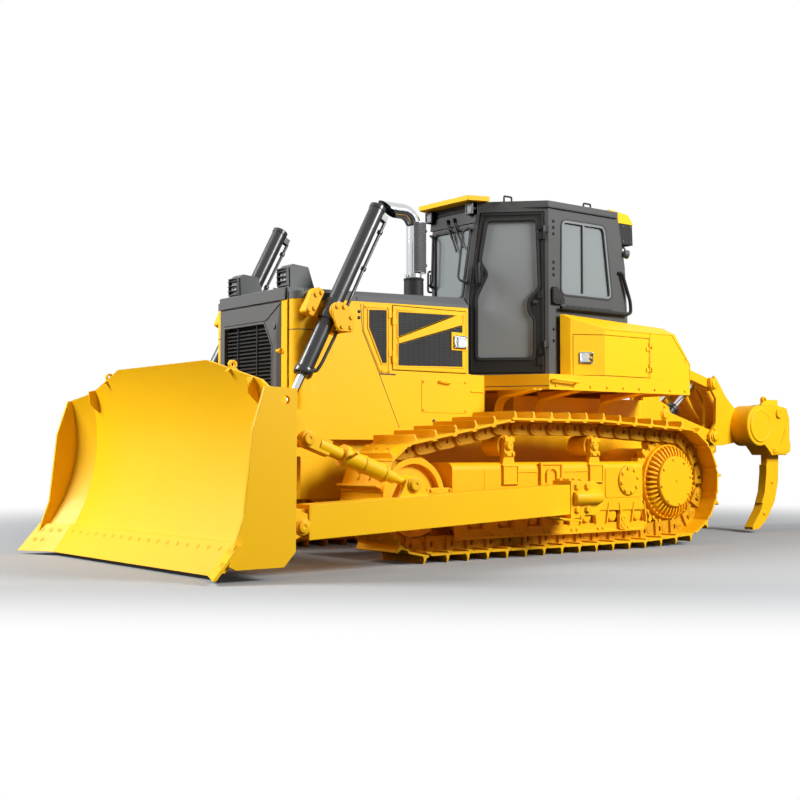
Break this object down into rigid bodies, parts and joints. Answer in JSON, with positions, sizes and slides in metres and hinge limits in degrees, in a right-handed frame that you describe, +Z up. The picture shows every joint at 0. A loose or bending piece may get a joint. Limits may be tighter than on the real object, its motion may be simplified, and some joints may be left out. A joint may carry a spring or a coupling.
{
  "type": "bulldozer",
  "caption": "Crawler tractor with a wide semi-U dozer blade in front, an enclosed cab, single-bar tracks and a parallelogram ripper behind.",
  "frame": {"origin": "ground under the middle of the machine's length and width", "axes": "+X forward towards the blade, +Y to the operator's left, +Z up"},
  "size_m": [7.4942, 3.184, 3.0746],
  "materials": {
    "yellow_paint": "gloss construction yellow",
    "charcoal_paint": "satin charcoal",
    "worn_steel": "worn steel",
    "chrome_plate": "polished",
    "tinted_glass": "tinted",
    "seat_cloth": "woven"
  },
  "bodies": {
    "tractor": {"main_frame": "yellow_paint", "engine_block": "worn_steel", "radiator_guard": "yellow_paint", "front_mask": "charcoal_paint", "radiator_grille": "charcoal_paint", "hood_top": "charcoal_paint", "hood_sides": "yellow_paint", "headlamps": "charcoal_paint", "exhaust_stack": "chrome_plate", "cab_frame": "charcoal_paint", "cab_roof": "charcoal_paint", "roof_caps": "yellow_paint", "cab_glass": "tinted_glass", "work_lamps": "charcoal_paint", "seat": "seat_cloth", "console": "charcoal_paint", "platform": "yellow_paint", "handrails": "charcoal_paint", "tank_left": "yellow_paint", "tank_right": "yellow_paint", "track_frame_left": "yellow_paint", "track_frame_right": "yellow_paint", "track_left": "yellow_paint", "track_right": "yellow_paint", "idlers": "yellow_paint", "sprockets": "yellow_paint", "rollers_left": "yellow_paint", "rollers_right": "yellow_paint", "lift_yokes": "yellow_paint", "ripper_bracket": "yellow_paint"},
    "blade": {"push_arms": "yellow_paint", "moldboard": "yellow_paint", "blade_wings": "yellow_paint", "end_plates": "yellow_paint", "cutting_edge": "yellow_paint", "brace_left": "yellow_paint", "tilt_cylinder_right": "charcoal_paint"},
    "lift_barrel_left": {"lift_barrel_left": "charcoal_paint"},
    "lift_barrel_right": {"lift_barrel_right": "charcoal_paint"},
    "lift_rod_left": {"lift_rod_left": "chrome_plate"},
    "lift_rod_right": {"lift_rod_right": "chrome_plate"},
    "ripper_lower_link": {"ripper_lower_link": "yellow_paint"},
    "ripper_upper_link": {"ripper_upper_link": "yellow_paint"},
    "ripper_beam": {"ripper_beam": "yellow_paint", "ripper_shanks": "yellow_paint"},
    "ripper_barrel": {"ripper_barrels": "charcoal_paint"},
    "ripper_rod": {"ripper_rods": "chrome_plate"},
    "cab_door_left": {"cab_door_left": "charcoal_paint", "cab_door_glass_left": "tinted_glass"},
    "cab_door_right": {"cab_door_right": "charcoal_paint", "cab_door_glass_right": "tinted_glass"},
    "engine_door_left": {"engine_door_left": "yellow_paint"},
    "engine_door_right": {"engine_door_right": "yellow_paint"},
    "tank_door_left": {"tank_door_left": "yellow_paint"}
  },
  "joints": [
    {"name": "blade_lift", "type": "hinge", "parent": "tractor", "child": "blade", "pos_m": [0.207, 0, 0.457], "axis": [0, -1, 0], "range_deg": [-7.5, 16.5]},
    {"name": "lift_pivot_left", "type": "hinge", "parent": "tractor", "child": "lift_barrel_left", "pos_m": [2.233, 0.7, 1.892], "axis": [0, -1, 0], "range_deg": [-6.7, 14.6]},
    {"name": "lift_slide_left", "type": "slide", "parent": "lift_barrel_left", "child": "lift_rod_left", "axis": [0.4676, 0, -0.8839], "range_m": [-0.716, 0.327]},
    {"name": "lift_pivot_right", "type": "hinge", "parent": "tractor", "child": "lift_barrel_right", "pos_m": [2.233, -0.7, 1.892], "axis": [0, -1, 0], "range_deg": [-6.7, 14.6]},
    {"name": "lift_slide_right", "type": "slide", "parent": "lift_barrel_right", "child": "lift_rod_right", "axis": [0.4676, 0, -0.8839], "range_m": [-0.716, 0.327]},
    {"name": "ripper_lift", "type": "hinge", "parent": "tractor", "child": "ripper_lower_link", "pos_m": [-1.992, 0, 1.202], "axis": [0, 1, 0], "range_deg": [-25, 30]},
    {"name": "ripper_beam_pivot", "type": "hinge", "parent": "ripper_lower_link", "child": "ripper_beam", "pos_m": [-2.77, 0, 0.992], "axis": [0, 1, 0], "range_deg": [-30.2, 25.2]},
    {"name": "ripper_upper_pivot", "type": "hinge", "parent": "tractor", "child": "ripper_upper_link", "pos_m": [-1.982, 0, 1.735], "axis": [0, 1, 0], "range_deg": [-25.2, 30.2]},
    {"name": "ripper_ram_pivot", "type": "hinge", "parent": "tractor", "child": "ripper_barrel", "pos_m": [-1.83, 0, 0.83], "axis": [0, 1, 0], "range_deg": [-11.2, 13.4]},
    {"name": "ripper_ram_slide", "type": "slide", "parent": "ripper_barrel", "child": "ripper_rod", "axis": [-0.801, 0, 0.5986], "range_m": [-0.272, 0.326]},
    {"name": "cab_door_left_hinge", "type": "hinge", "parent": "tractor", "child": "cab_door_left", "pos_m": [-0.00495, 0.73377, 2.2], "axis": [0, 0, 1], "range_deg": [0, 100]},
    {"name": "cab_door_right_hinge", "type": "hinge", "parent": "tractor", "child": "cab_door_right", "pos_m": [-0.00495, -0.73377, 2.2], "axis": [0, 0, -1], "range_deg": [0, 100]},
    {"name": "engine_door_left_hinge", "type": "hinge", "parent": "tractor", "child": "engine_door_left", "pos_m": [1.488, 0.511, 1.75], "axis": [0, 0, -1], "range_deg": [0, 105]},
    {"name": "engine_door_right_hinge", "type": "hinge", "parent": "tractor", "child": "engine_door_right", "pos_m": [1.488, -0.511, 1.75], "axis": [0, 0, 1], "range_deg": [0, 105]},
    {"name": "tank_door_left_hinge", "type": "hinge", "parent": "tractor", "child": "tank_door_left", "pos_m": [-1.053, 1.008, 1.7], "axis": [0, 0, 1], "range_deg": [0, 110]}
  ],
  "couplings": [
    {"joint": "lift_pivot_left", "follows": "blade_lift", "ratio": 0.875},
    {"joint": "lift_slide_left", "follows": "blade_lift", "m_per_rad": -2.4752},
    {"joint": "lift_pivot_right", "follows": "blade_lift", "ratio": 0.875},
    {"joint": "lift_slide_right", "follows": "blade_lift", "m_per_rad": -2.4752},
    {"joint": "ripper_beam_pivot", "follows": "ripper_lift", "ratio": -1},
    {"joint": "ripper_upper_pivot", "follows": "ripper_lift", "ratio": 1},
    {"joint": "ripper_ram_pivot", "follows": "ripper_lift", "ratio": 0.44},
    {"joint": "ripper_ram_slide", "follows": "ripper_lift", "m_per_rad": 0.61879}
  ]
}
